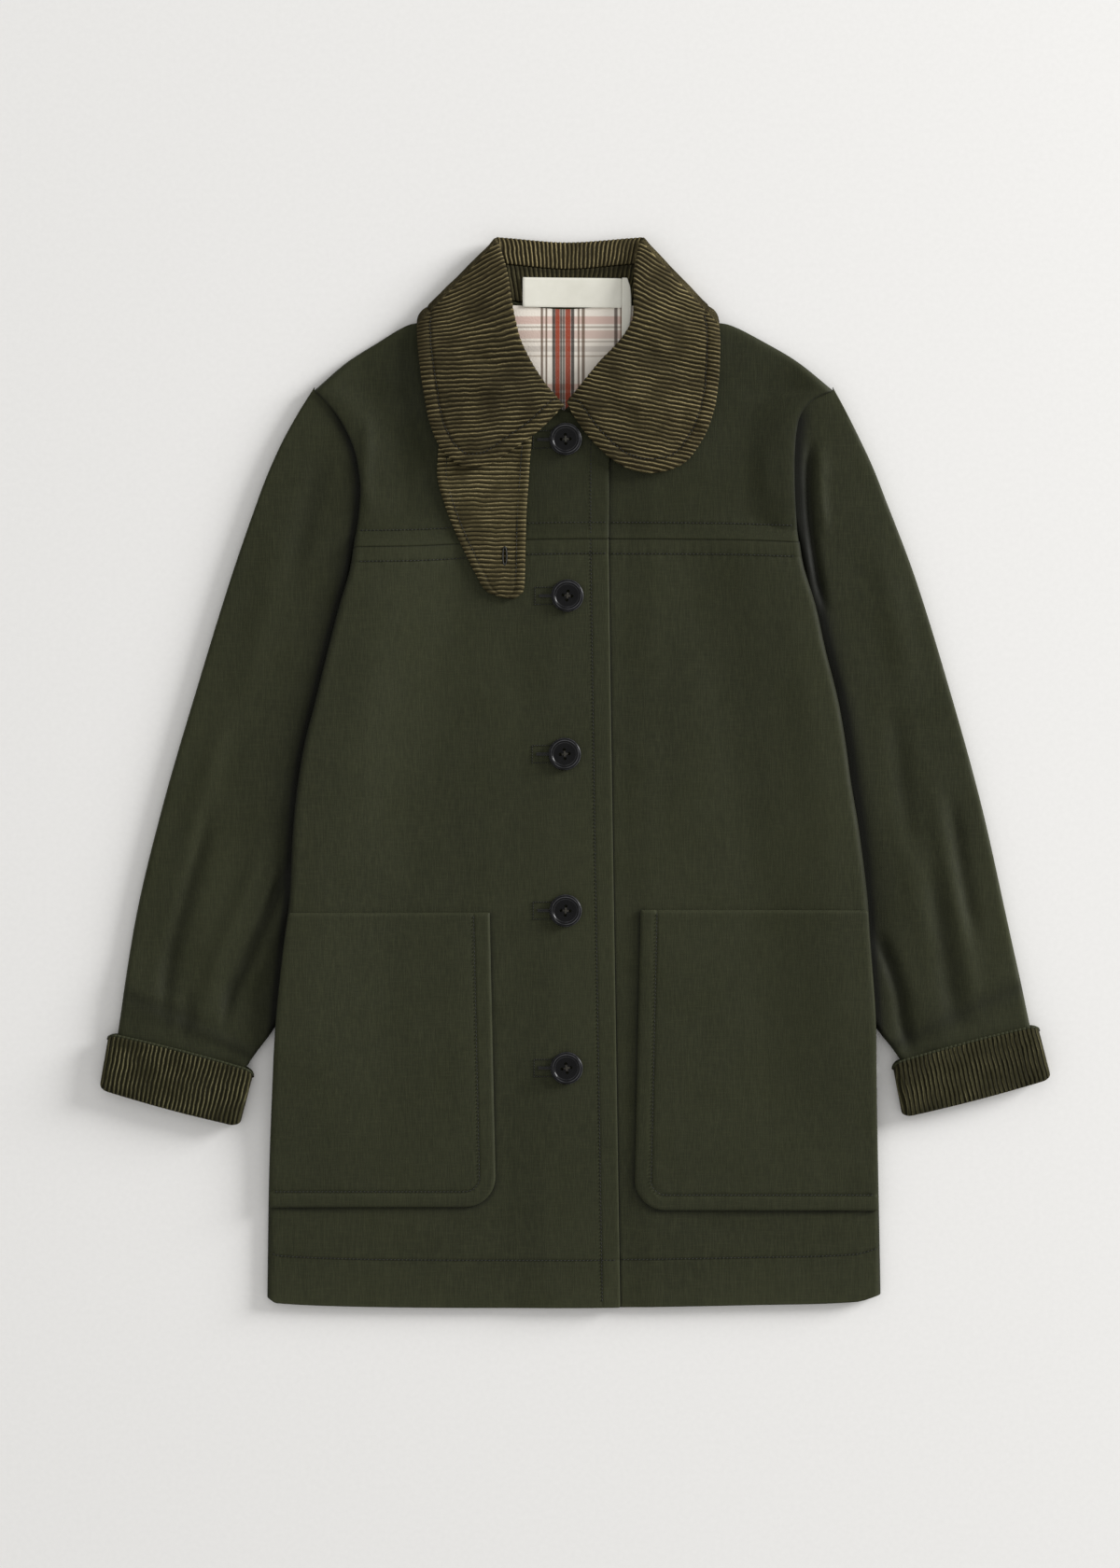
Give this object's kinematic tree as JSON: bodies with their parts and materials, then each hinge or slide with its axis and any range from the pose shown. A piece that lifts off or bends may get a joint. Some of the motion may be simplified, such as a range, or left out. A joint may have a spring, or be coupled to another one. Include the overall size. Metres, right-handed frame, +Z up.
{
  "type": "waxed cotton jacket",
  "caption": "Waxed cotton jacket laid flat, buttoned, with a corduroy collar, throat tab and cuffs and two large patch pockets.",
  "frame": {"origin": "centre of the laid jacket's outline, on the surface that it lies on", "axes": "+X to the wearer's left across the front, +Y from the hem towards the collar, +Z up out of the front"},
  "size_m": [0.7325, 0.8229, 0.0193],
  "materials": {
    "waxed_cotton": "matt waxed cotton",
    "corduroy": "corduroy pile",
    "flannel_lining": "brushed check flannel",
    "label_tape": "plain woven tape",
    "button_plastic": "polished"
  },
  "bodies": {
    "root": {"back_panel": "waxed_cotton", "front_right": "waxed_cotton", "front_left": "waxed_cotton", "yoke_right": "waxed_cotton", "yoke_left": "waxed_cotton", "sleeve_right": "waxed_cotton", "sleeve_left": "waxed_cotton", "pocket_right": "waxed_cotton", "pocket_left": "waxed_cotton", "cuff_right": "corduroy", "cuff_left": "corduroy", "collar": "corduroy", "collar_stand": "corduroy", "throat_tab": "corduroy", "lining_neck": "flannel_lining", "neck_label": "label_tape", "label_end": "label_tape", "button_1": "button_plastic", "button_2": "button_plastic", "button_3": "button_plastic", "button_4": "button_plastic", "button_5": "button_plastic"}
  },
  "joints": []
}
